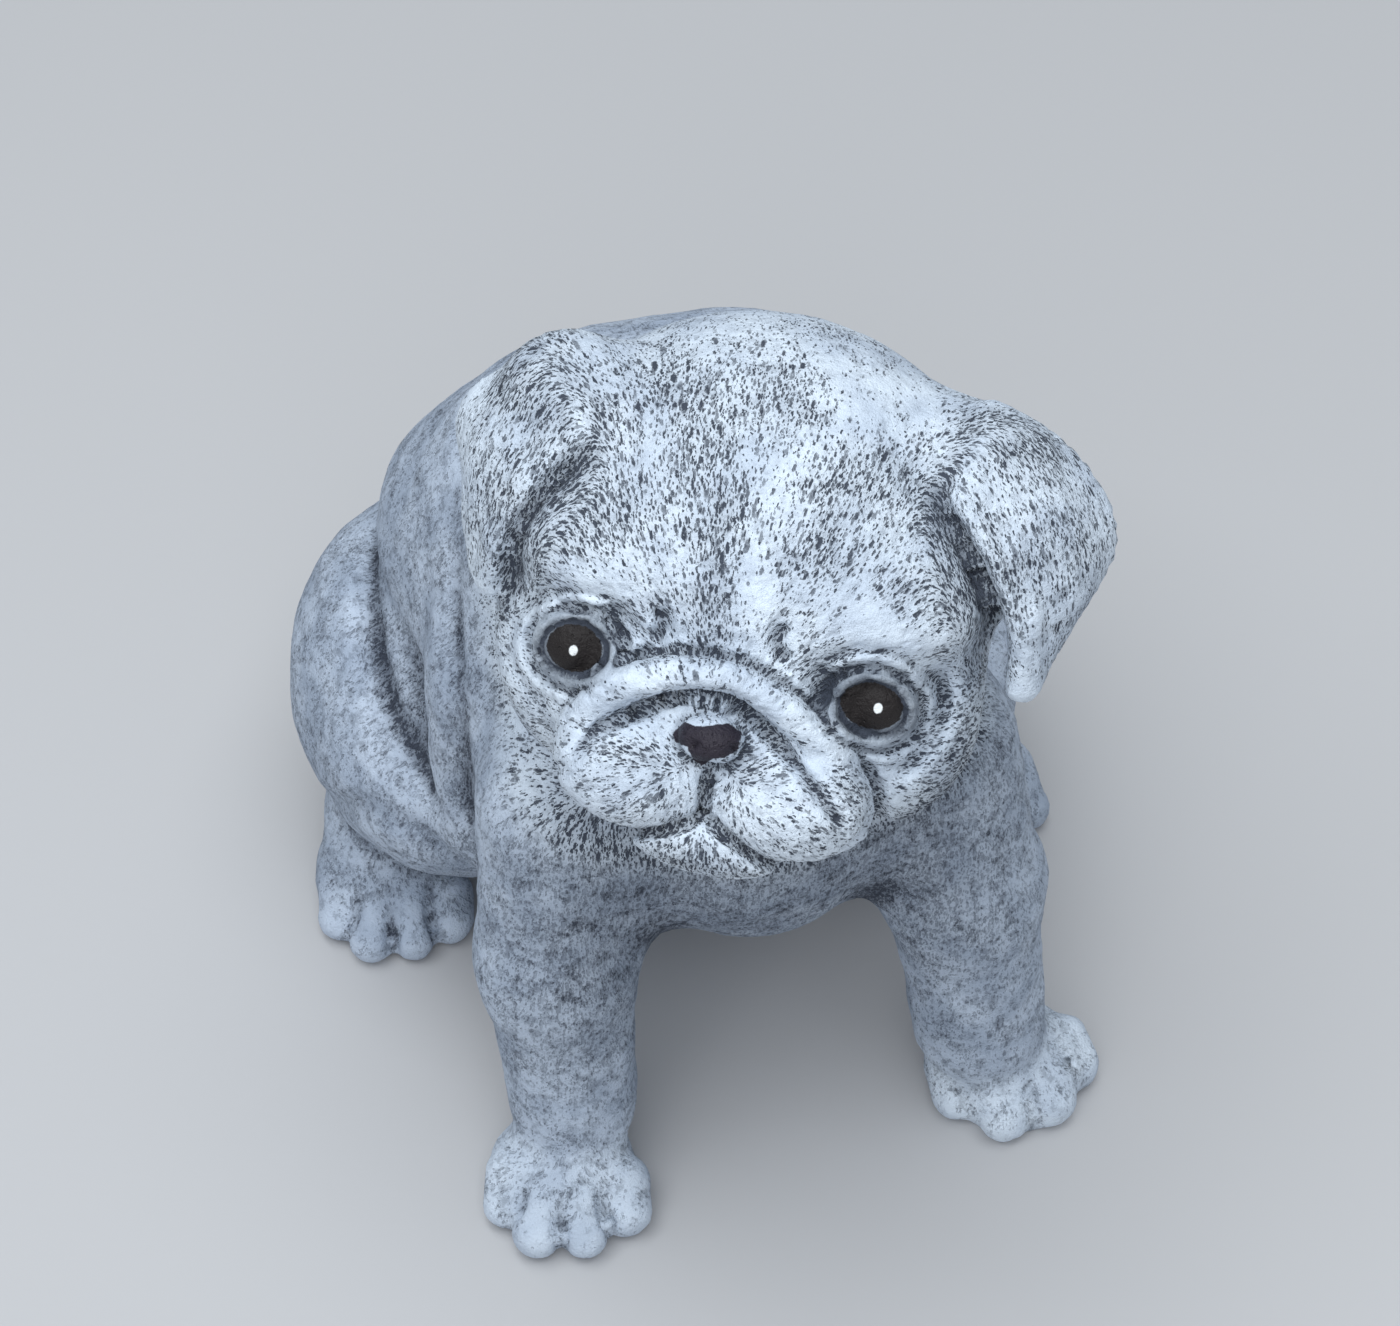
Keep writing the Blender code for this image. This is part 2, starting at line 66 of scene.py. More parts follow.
# Forms. Each function gives how far points lie outside a form.


def ball(points, centre, radii, axes=None):
    q = points - np.asarray(centre, float)
    if axes is not None:
        q = q @ axes
    radii = np.asarray(radii, float)
    outer = np.linalg.norm(q / radii, axis=1)
    slope = np.linalg.norm(q / radii**2, axis=1) + 1e-9
    return outer * (outer - 1.0) / slope


def limb(points, start, end, thick_start, thick_end):
    start, end = np.asarray(start, float), np.asarray(end, float)
    along = end - start
    share = np.clip((points - start) @ along / (along @ along), 0.0, 1.0)
    nearest = start + share[:, None] * along
    return np.linalg.norm(points - nearest, axis=1) - (thick_start + share * (thick_end - thick_start))


def sheet(points, lines, thick):
    """A smooth rounded sheet through a few lines, each a row of knots."""
    net = flowing(flowing(lines, 9).transpose(1, 0, 2), 9)
    across, along = np.gradient(net, axis=0), np.gradient(net, axis=1)
    normals = np.cross(across, along).reshape(-1, 3)
    normals /= np.linalg.norm(normals, axis=1)[:, None]
    spots = net.reshape(-1, 3)
    half_gap = 0.5 * max(np.linalg.norm(across, axis=-1).mean(), np.linalg.norm(along, axis=-1).mean())
    far = np.empty(len(points))
    for first in range(0, len(points), 20000):
        part = points[first : first + 20000]
        gaps = (part**2).sum(1)[:, None] - 2 * part @ spots.T + (spots**2).sum(1)[None]
        nearest = gaps.argmin(1)
        offset = part - spots[nearest]
        rise = (offset * normals[nearest]).sum(1)
        slide = np.sqrt(np.maximum((offset**2).sum(1) - rise**2, 0.0))
        far[first : first + 20000] = np.hypot(rise, np.maximum(slide - half_gap, 0.0)) - thick
    return far


def blended(first, second, soft):
    """The union of two forms, with a fillet about as wide as soft."""
    share = np.clip(0.5 + 0.5 * (second - first) / soft, 0.0, 1.0)
    return second * (1.0 - share) + first * share - soft * share * (1.0 - share)


def flowing(knots, steps=4):
    """Points along a smooth curve through the knots."""
    knots = np.asarray(knots, float)
    ends = np.concatenate((2 * knots[:1] - knots[1:2], knots, 2 * knots[-1:] - knots[-2:-1]))
    line = []
    for a, b, c, d in zip(ends, ends[1:], ends[2:], ends[3:]):
        for t in np.arange(steps) / steps:
            bend = (2 * a - 5 * b + 4 * c - d) * t**2
            line.append(0.5 * (2 * b + (c - a) * t + bend + (3 * b - a - 3 * c + d) * t**3))
    return np.array(line + [knots[-1]])


def stroke(points, knots, width, depth):
    """How far a stroke along the knots presses the skin in, fading out at its two ends."""
    line = flowing(knots)
    reach = 2.6 * width
    near = np.all((points > line.min(0) - reach) & (points < line.max(0) + reach), axis=1)
    pressed = np.zeros(len(points))
    if not near.any():
        return pressed
    close = points[near]
    best = np.full(len(close), np.inf)
    place = np.zeros(len(close))
    for number, (start, end) in enumerate(zip(line, line[1:])):
        along = end - start
        share = np.clip((close - start) @ along / max(along @ along, 1e-9), 0.0, 1.0)
        gap = np.linalg.norm(close - start - share[:, None] * along, axis=1)
        here = gap < best
        best[here] = gap[here]
        place[here] = (number + share[here]) / (len(line) - 1)
    taper = np.clip(5.0 * np.minimum(place, 1.0 - place), 0.3, 1.0)
    pressed[near] = depth * taper * np.exp(-((best / width) ** 2))
    return pressed


# The head, in its own axes.

MIDDLE_OF_FACE = -45.0
SLANT = (0.008, -0.514)

EYES = {-1: (-29.6, -31.0, -8.0), 1: (28.6, -31.0, -7.4)}
EYEBALL = 8.4
LID_RINGS = ((5.9, 0.6, 0.6), (7.2, 1.0, -1.4), (8.9, 0.8, 0.7), (10.7, 1.2, -0.9), (12.8, 1.5, 0.8))

RIGHT_EAR = (
    ((-37.5, -19, 29), (-44.5, -22, 17), (-48, -20, 4), (-49, -16, -7)),
    ((-44.0, -12, 32), (-53.5, -13, 19), (-54.5, -12, 5), (-52, -12, -6)),
    ((-49.0, 1, 31), (-59.5, 2, 18), (-55.5, -3, 6), (-51, -9, -4)),
)
LEFT_EAR = (
    ((38.5, -19.5, 30), (46.5, -21.5, 22), (53, -20.5, 10), (56, -17, -5)),
    ((40.0, -8, 36), (53.0, -12, 29), (60.5, -13, 15), (57.5, -14, -3)),
    ((40.0, 4, 38), (55.5, 3, 32), (65.0, -2, 20), (59.0, -11, 2)),
)


def in_head(points):
    return (points - np.array(HEAD_AT)) @ HEAD_AXES


def across_face(q):
    """Places on a plane across the face, straight behind one another as seen from a little above."""
    deep = q[:, 1] - MIDDLE_OF_FACE
    return np.stack((q[:, 0] - SLANT[0] * deep, q[:, 2] - SLANT[1] * deep), axis=1)


def skull(q):
    far = ball(q, (0, 4, 3), (49, 49, 44))
    far = blended(far, ball(q, (0, -6, -18), (47, 36, 29)), 12)
    for side in (-1, 1):
        far = blended(far, ball(q, (side * 28, -24.5, 9), (15, 12, 8)), 12)
        far = blended(far, ball(q, (side * 27 + 3, -13, -23), (19, 21, 19)), 8)
    return far


def muzzle(q):
    far = ball(q, (0, -28, -22), (33, 23, 21))
    for side in (-1, 1):
        far = blended(far, ball(q, (1.2 + side * 14.0, -43.5, -27.0), (16.5, 13.5, 12.5)), 3)
    far = blended(far, ball(q, (3.0, -41, -37), (19, 13.5, 9.3)), 2)
    arch = flowing(
        ((-20.5, -35, -38.5), (-24.3, -37.5, -32.5), (-26.6, -39.8, -25), (-23.5, -43, -15),
         (-16, -45.5, -7.5), (0, -47.3, -2.5), (16.5, -44.5, -9.5), (24, -42, -17),
         (29.6, -38.8, -25.5), (29.6, -36, -33), (24.5, -34.5, -38.5)),
        2,
    )
    roll = None
    for start, end in zip(arch, arch[1:]):
        piece = limb(q, start, end, 4.3, 4.3)
        roll = piece if roll is None else np.minimum(roll, piece)
    far = blended(far, roll, 3)
    return blended(far, ball(q, (-0.1, -50.3, -14.4), (6.4, 5.4, 4.4)), 1.5)


def face_strokes(q):
    seen = across_face(q)
    crease = ((-27.6, -30.3), (-25, -26.3), (-21.9, -21.1), (-16.8, -16.4), (-11.2, -11.7),
              (-7.4, -9.3), (-1.6, -7.9), (3.8, -8.6), (9.4, -12.7), (16.3, -18.5), (22.8, -24.4),
              (27, -29), (27.6, -32.5))
    above = ((-31.2, -25.3), (-30.2, -19.6), (-27.4, -13.9), (-22.9, -7.8), (-16.6, -2.6),
             (-9.3, -0.2), (-1.8, 0.7), (5.6, -0.3), (12.4, -3), (18.4, -7.2), (23.9, -12.5),
             (29.3, -18.6), (32.5, -23.2))
    pressed = stroke(seen, crease, 1.6, 2.6)
    pressed += stroke(seen, above, 1.6, 1.3)
    pressed += stroke(seen, ((-25, 7.9), (-22.1, 2.3), (-21, -3.2)), 2.4, 2.3)
    pressed += stroke(seen, ((18.4, 4.4), (17.9, -1.1), (20.1, -6.6)), 2.4, 2.3)
    pressed += stroke(seen, ((-14.7, 8.6), (-13.5, 4), (-15.1, -0.3)), 1.8, 2.2)
    pressed += stroke(seen, ((8.8, 11.2), (8.3, 5.7), (11.7, 1.8)), 1.8, 2.2)
    pressed += stroke(seen, ((-1.8, 4.9), (-3, 12.2), (-2.5, 20.8), (-3.4, 33.2)), 4.5, 1.0)
    pressed += stroke(seen, ((0.5, -22.8), (0.9, -28.6), (1.2, -33.6)), 1.2, 2.8)
    pressed += stroke(seen, ((-24.3, -36.9), (-18.7, -39.8), (-12.6, -40.6), (-6.4, -38.9),
                             (-1.6, -36.1), (1.2, -33.4)), 1.2, 2.8)
    pressed += stroke(seen, ((1.2, -33.4), (4.7, -35.7), (9.2, -38.4), (13.4, -40.3), (17.9, -40.8),
                             (22.8, -39.7)), 1.2, 2.8)
    pressed += stroke(seen, ((36.9, 9.9), (40.3, 5.4), (41.3, 0.2), (39.9, -6.3), (37.6, -13.1),
                             (34.5, -18.6)), 2.2, 2.2)
    pressed += stroke(seen, ((-38.4, -14.5), (-34.3, -19.5), (-31.2, -25.3)), 2.2, 1.2)
    pressed += stroke(seen, ((26.6, -11.5), (30.4, -17.0), (33.2, -22.5), (34.2, -28.0),
                             (33.4, -33.0)), 1.8, 1.8)
    pressed += stroke(seen, ((-3.3, -18.6), (-2.3, -19.3)), 1.1, 1.6)
    pressed += stroke(seen, ((4.3, -18.7), (5.3, -18.0)), 1.1, 1.6)
    return np.where(q[:, 1] < -12, pressed, 0.0)


def with_eyes(q, far):
    seen = across_face(q)
    for side in (-1, 1):
        centre = np.array(EYES[side])
        middle = np.array((centre[0], centre[2] - SLANT[1] * (MIDDLE_OF_FACE + 38.0) * -1.0))
        offset = (seen - middle) / np.array((1.08, 0.98))
        ring = np.hypot(offset[:, 0], offset[:, 1])
        front = (q[:, 1] < -14).astype(float)
        to_nose = (-side * offset[:, 0] - offset[:, 1]) / (1.42 * ring + 1e-9)
        clear = front * np.clip(1.2 - 1.4 * to_nose, 0.0, 1.0)
        far = far + clear * 1.6 * np.exp(-(((ring - 9.4) / 1.7) ** 2))
        far = blended(far, ball(q, centre, (EYEBALL,) * 3), 0.8)
        for reach, width, depth in LID_RINGS:
            where = front if reach < 8.0 else clear
            far = far + where * depth * np.exp(-(((ring - reach) / width) ** 2))
    return far


def ear(q, lines):
    """An ear folded forward: a sheet between its front edge, its middle and its rear edge."""
    lines = np.array(lines, float)
    far = np.linalg.norm(q - lines.mean((0, 1)), axis=1) - 28.0
    near = far < 12.0
    flap = sheet(q[near], lines, 3.2)
    for start, end in zip(lines[0], lines[0][1:]):
        flap = blended(flap, limb(q[near], start, end, 3.9, 3.9), 1.5)
    far[near] = flap
    return far


def head(points):
    q = in_head(points)
    far = blended(skull(q), muzzle(q), 4)
    far = with_eyes(q, far) + face_strokes(q)
    far = blended(far, ball(q, (-36, -6, 29), (16, 16, 8.5)), 8)
    far = blended(far, ball(q, (38, 1, 31), (16, 17, 9)), 9)
    for side, lines in ((-1, RIGHT_EAR), (1, LEFT_EAR)):
        far = blended(far, ball(q, (side * 43, -1, 20), (13, 15, 19)), 8)
        far = blended(far, ear(q, lines), 2.5)
    groove = ((36.1, 48.7), (39.6, 43.9), (44.4, 38.8), (47.9, 33.3), (50.9, 27.1), (53.4, 20.7),
              (55.2, 16.5))
    right_fold = ((-36.3, 36.8), (-38.7, 32.9), (-41, 28.6), (-43.2, 23.3), (-45, 17.8), (-46.1, 12.3),
                  (-46.9, 6.5))
    left_fold = ((32.4, 44), (36.4, 38.8), (39.7, 34.1), (43.1, 29.3), (46.2, 24.3), (48.6, 19.1),
                 (50.6, 13.9), (52.4, 7.9))
    seen = across_face(q)
    pressed = stroke(seen, groove, 1.6, 1.2)
    pressed = pressed + stroke(seen, right_fold, 1.5, 2.4) + stroke(seen, left_fold, 1.6, 3.0)
    return far + np.where(q[:, 1] < -8, pressed, 0.0)


# The body, standing on the ground.

FORE_LEGS = {
    -1: dict(
        shoulder=(-37, 9, 112),
        elbow=(-42.3, 3, 70),
        wrist=(-40.5, -2, 24),
        thick=(20, 16.3, 14.2),
        heel=(-45.0, -10.3, 6.5),
        facing=-10,
        toes=((-58.6, -14.5, 5.5), (-53.5, -23.8, 5.9), (-43.8, -25.8, 6.0), (-33.4, -22.3, 6.1)),
    ),
    1: dict(
        shoulder=(40, 9, 112),
        elbow=(48.5, 3, 70),
        wrist=(53, -2, 24),
        thick=(20, 16.6, 14.8),
        heel=(60.6, -4, 6.5),
        facing=13,
        toes=((46.8, -8.8, 5.8), (55.8, -16.8, 6.2), (66.6, -15.2, 6.2), (75.2, -6.5, 5.7)),
    ),
}
HIND_TOES = ((-80.2, 73, 5.6), (-74.2, 65.4, 5.9), (-65.2, 63.4, 6.0), (-56.0, 66.2, 6.0))


def paw(points, heel, toes, wide, facing):
    """A blocky paw: a rounded back and four short toes side by side the way it faces."""
    ahead_x, ahead_y = math.sin(math.radians(facing)), -math.cos(math.radians(facing))
    far = ball(points, heel, (wide, wide, 13.0))
    for x, y, r in toes:
        knuckle = (0.93 * x + 0.07 * heel[0] - 5.0 * ahead_x, y - 5.0 * ahead_y, 9.0)
        far = blended(far, limb(points, knuckle, (x, y, r * 0.96), r * 1.08, r), 1.5)
    for (x, y, _), (next_x, next_y, _) in zip(toes, toes[1:]):
        gap_x, gap_y = 0.5 * (x + next_x), 0.5 * (y + next_y)
        start = (gap_x - 2.5 * ahead_x, gap_y - 2.5 * ahead_y, 15.0)
        middle = (gap_x + 1.0 * ahead_x, gap_y + 1.0 * ahead_y, 12.0)
        end = (gap_x + 4.5 * ahead_x, gap_y + 4.5 * ahead_y, 3.0)
        far = far + stroke(points, (start, middle, end), 1.6, 2.5)
    return far


def fore_leg(points, shoulder, elbow, wrist, thick, heel, toes, facing):
    far = limb(points, shoulder, elbow, thick[0], thick[1])
    far = blended(far, limb(points, elbow, wrist, thick[1], thick[2]), 8)
    return blended(far, paw(points, heel, toes, 16.8, facing), 6)


def hind_leg(points, side):
    far = ball(points, (side * 47, 92, 60), (38, 44, 47))
    far = blended(far, ball(points, (side * 50, 66, 65), (27, 28, 22)), 12)
    far = blended(far, limb(points, (side * 62, 92, 30), (side * 68, 84, 16), 17, 14), 5)
    shift = (side + 1) * 2.2
    toes = [(side * -x + shift, y - shift, r) for x, y, r in HIND_TOES]
    return blended(far, paw(points, (side * 68 + shift, 81 - shift, 7.5), toes, 17.0, side * 12), 4)


def tail(points):
    """A short tail, curled once on the rump."""
    turns = np.radians(np.linspace(-100, 215, 12))
    reach = np.linspace(12.5, 7.5, 12)[:, None]
    curl = np.array((3.0, 142.5, 74.0)) + reach * (
        np.cos(turns)[:, None] * np.array((1, 0, 0))
        + np.sin(turns)[:, None] * np.array((0, -0.35, 0.94))
    )
    curl[:, 1] += np.linspace(-1.0, 3.0, 12)
    thick = np.linspace(8.0, 4.6, 12)
    far = None
    for start, end, wide, narrow in zip(curl, curl[1:], thick, thick[1:]):
        piece = limb(points, start, end, wide, narrow)
        far = piece if far is None else np.minimum(far, piece)
    return far


def torso(points):
    far = ball(points, (2, 26, 109), (46, 42, 46))
    far = blended(far, ball(points, (6, 14, 82), (15, 18, 17)), 12)
    far = blended(far, ball(points, (0, 78, 86), (59, 66, 68)), 22)
    far = blended(far, ball(points, (0, 92, 46), (50, 48, 48)), 12)
    far = blended(far, limb(points, (0, 54, 126), (0, 17, 174), 54, 36), 14)
    for side in (-1, 1):
        far = blended(far, limb(points, (side * 40, 46, 112), (side * 42, 42, 78), 20, 19), 10)
        far = blended(far, ball(points, (side * 19, 81, 126), (35, 34, 34)), 12)
        far = blended(far, ball(points, (side * 33, 91, 110), (29, 33, 24)), 14)
    return blended(far, tail(points), 2.5)


def body_strokes(points):
    pressed = np.zeros(len(points))
    for side in (-1, 1):
        flank = ((56, 113, 104), (60, 103, 103), (63, 94, 100), (66, 82, 95.5), (67, 74, 91.5),
                 (66.5, 66, 88), (64.5, 55, 84), (60.5, 40, 80))
        flank = [(side * x, y, z) for x, y, z in flank]
        fore = [(side * x, y, z) for x, y, z in ((51, 56, 138), (54, 45, 128), (56, 35, 119),
                                                 (57, 32.5, 107), (57, 31.5, 92), (56, 29, 78))]
        thigh = ((80, 91, 28), (80.5, 78, 42), (78.5, 66, 56), (74, 54, 67), (70, 48.5, 70),
                 (63, 41.5, 67), (56.5, 38, 62))
        thigh = [(side * x, y, z) for x, y, z in thigh]
        back = [(side * x, y, z) for x, y, z in ((48, 118, 108), (56, 106, 104), (59, 92, 106),
                                                 (60, 80, 104))]
        pressed += stroke(points, flank, 4.6, 1.6) + stroke(points, flank[2:], 3.6, 1.6)
        pressed += stroke(points, flank[3:], 2.4, 1.8)
        pressed += (
            stroke(points, fore, 3.8, 3.2)
            + stroke(points, fore, 1.8, 1.4)
            + stroke(points, back, 4.0, 1.2)
        )
        pressed += stroke(points, thigh, 3.2, 1.8)
    return pressed


def figure(points):
    far = torso(points)
    for side in (-1, 1):
        far = blended(far, fore_leg(points, **FORE_LEGS[side]), 13)
        far = blended(far, hind_leg(points, side), 6)
    far = far + body_strokes(points)
    top = np.linalg.norm(points - np.array(HEAD_AT), axis=1) - 78.0
    near = top < 12.0
    top[near] = head(points[near])
    return blended(far, top, 4)


# The skin.


def surface(points):
    """The figure standing on the ground."""
    return np.maximum(figure(points), -points[:, 2])


def drawn_down(corners, rounds=2, reach=0.3):
    """Moves corners square on to the skin."""
    for _ in range(rounds):
        far = surface(corners)
        slope = np.stack([surface(corners + reach * side) - far for side in np.eye(3)], 1) / reach
        steep = np.maximum((slope**2).sum(1), 0.3)
        corners = corners - slope * np.clip(far / steep, -1.0, 1.0)[:, None]
    return corners


def baked(piece):
    """Applies the piece's modifiers."""
    graph = bpy.context.evaluated_depsgraph_get()
    graph.update()
    mesh = bpy.data.meshes.new_from_object(piece.evaluated_get(graph))
    piece.modifiers.clear()
    piece.data = mesh
    return piece


def grid_places(shape):
    return np.array([vertex.co for vertex in shape.verts]) / GRID + MIDDLE


def put_places(shape, places):
    for vertex, place in zip(shape.verts, ((places - MIDDLE) * GRID).tolist()):
        vertex.co = place


def finer(shape, wanted):
    """Cuts in four the faces whose middles are wanted, and draws the new corners on to the skin."""
    middles = np.array([face.calc_center_median() for face in shape.faces]) / GRID + MIDDLE
    chosen = wanted(middles)
    edges = {edge for face, take in zip(shape.faces, chosen) if take for edge in face.edges}
    bmesh.ops.subdivide_edges(shape, edges=list(edges), cuts=1, use_grid_fill=True)
    put_places(shape, drawn_down(grid_places(shape), 1))


FACE_REACH = -14  # how far back the face goes, in the head's own axes
PAW_TOP = 24


def on_head(places):
    q = in_head(places)
    return (np.linalg.norm(q - np.array((0, -14, 2)), axis=1) < 66) & (q[:, 1] < 14)


def on_face(places):
    q = in_head(places)
    far = np.linalg.norm((q - np.array((0, -48, -8))) / np.array((42, 30, 34)), axis=1)
    return (far < 1) & (q[:, 1] < FACE_REACH)


def on_paws(places):
    near = np.zeros(len(places), bool)
    for leg in FORE_LEGS.values():
        gap = places[:, :2] - np.array(leg["heel"][:2])
        near |= (np.linalg.norm(gap, axis=1) < 30) & (places[:, 2] < PAW_TOP)
    for side in (-1, 1):
        gap = places[:, :2] - np.array((side * 68, 80))
        near |= (np.linalg.norm(gap, axis=1) < 27) & (places[:, 2] < PAW_TOP)
    return near


def fine_skin():
    """A copy of the solid with an even skin, finer over the head and paws and finest over the face."""
    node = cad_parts["pug"]
    shape = bmesh.new()
    shape.from_mesh(node.data)
    bmesh.ops.remove_doubles(shape, verts=shape.verts, dist=1e-6)
    mesh = bpy.data.meshes.new("cast_pug")
    shape.to_mesh(mesh)
    shape.free()
    pug = bpy.data.objects.new("cast_pug", mesh)
    bpy.context.scene.collection.objects.link(pug)
    even = pug.modifiers.new("even", "REMESH")
    even.mode = "VOXEL"
    even.voxel_size = EVEN_SPACING * GRID
    baked(pug)
    shape = bmesh.new()
    shape.from_mesh(pug.data)
    put_places(shape, drawn_down(grid_places(shape), 3))
    finer(shape, lambda middles: on_head(middles) | on_paws(middles))
    finer(shape, on_face)
    put_places(shape, drawn_down(grid_places(shape), 2))
    bmesh.ops.triangulate(shape, faces=[face for face in shape.faces if len(face.verts) > 4])
    shape.normal_update()
    return pug, shape


# What the paint needs to know of each place on the skin.


def linked(shape):
    """The two ends of every edge."""
    return np.array([[vertex.index for vertex in edge.verts] for edge in shape.edges])


def evened(values, ends, rounds):
    """Values averaged with those beside them, over and over."""
    count = len(values)
    beside = np.bincount(ends.ravel(), minlength=count)[:, None]
    flat = values.reshape(count, -1)
    for _ in range(rounds):
        total = np.empty_like(flat)
        for column in range(flat.shape[1]):
            first = np.bincount(ends[:, 0], flat[ends[:, 1], column], count)
            total[:, column] = first + np.bincount(ends[:, 1], flat[ends[:, 0], column], count)
        flat = 0.5 * flat + 0.5 * total / beside
    return flat.reshape(values.shape)


def lie_of_coat(points, normals):
    """Which way the hair lies: out from the nose, along the ears, down the body and legs."""
    q = in_head(points)
    out = q - np.array((0.0, -62.0, -14.0))
    out /= np.linalg.norm(out, axis=1)[:, None]
    for side, lines in ((-1, RIGHT_EAR), (1, LEFT_EAR)):
        lines = np.array(lines, float)
        far = np.linalg.norm(q - lines.mean((0, 1)), axis=1)
        along = lines[:, -1].mean(0) - lines[:, 0].mean(0)
        along /= np.linalg.norm(along)
        share = np.clip((30.0 - far) / 8.0, 0.0, 1.0)[:, None] * (np.sign(q[:, 0]) == side)[:, None]
        out = out * (1.0 - share) + along * share
    head_flow = out @ HEAD_AXES.T
    body_flow = np.array((0.0, 0.35, -1.0))
    share = np.clip((84.0 - np.linalg.norm(points - np.array(HEAD_AT), axis=1)) / 12.0, 0.0, 1.0)
    share = share[:, None]
    flow = head_flow * share + body_flow * (1.0 - share)
    flow -= (flow * normals).sum(1)[:, None] * normals
    return flow / (np.linalg.norm(flow, axis=1)[:, None] + 1e-9)


PIT_SEED = 7
PIT_SHARE = 0.16  # of the skin's corners that may start a cut
PIT_SIZES = (0.75, 1.35)
PIT_LENGTH = 1.15
PIT_WIDTH = 0.42
PIT_DEPTH = 0.42


def pitted(places, normals, flow, coat):
    """How deep short cuts along the coat press the skin in."""
    rng = np.random.default_rng(PIT_SEED)
    tree = kdtree.KDTree(len(places))
    for number, place in enumerate(places):
        tree.insert(place, number)
    tree.balance()
    depth = np.zeros(len(places))
    picks = rng.permutation(len(places))[: int(PIT_SHARE * len(places))]
    sizes = rng.uniform(*PIT_SIZES, len(picks))
    for pick, size in zip(picks, sizes):
        if rng.random() > coat[pick]:
            continue
        length, width = PIT_LENGTH * size, PIT_WIDTH * size
        for _, number, _ in tree.find_range(places[pick], 2.6 * length):
            offset = places[number] - places[pick]
            along = offset @ flow[pick]
            rise = offset @ normals[pick]
            aside = offset @ offset - along * along - rise * rise
            cut = size * math.exp(-((along / length) ** 2) - aside / width**2)
            depth[number] = max(depth[number], cut)
    return depth


def lumpy(places, head):
    """The slight unevenness of the cast: soft lumps on the body, a finer grain on the head."""
    rise = np.empty(len(places))
    for number, place in enumerate(places.tolist()):
        spot = Vector(place)
        broad = noise.fractal(spot * 0.09, 1.0, 2.0, 3)
        fine = noise.noise(spot * 0.8)
        rise[number] = (0.55 - 0.35 * head[number]) * broad + (0.10 + 0.06 * head[number]) * fine
    return rise


def washed_and_painted_light(seen, facing):
    """How much of the dark wash stays in the coat over the face and the brow, with painted shade under the chin
    and painted light on the brow ridges and the crown.
    """
    wash_and_painted_light = np.zeros(len(seen))
    for middle, half, strength in WASH_AND_PAINTED_LIGHT:
        offset = (seen - np.array(middle)) / np.array(half)
        wash_and_painted_light += strength * np.exp(-1.2 * (offset**2).sum(1))
    return np.clip(wash_and_painted_light, -0.6, 1.1) * facing


def told(piece, name, values):
    """Keeps a value for each corner of the piece under a name that its paint reads."""
    kind = "FLOAT_VECTOR" if values.ndim == 2 else "FLOAT"
    attribute = piece.data.attributes.new(name, kind, "POINT")
    field = "vector" if values.ndim == 2 else "value"
    attribute.data.foreach_set(field, values.astype(np.float32).ravel())


def across_eye(seen, middle, half):
    """How far places lie from the middle of a round mark, in its half sizes."""
    offset = (seen - np.array(middle)) / np.array(half)
    return np.hypot(offset[:, 0], offset[:, 1])


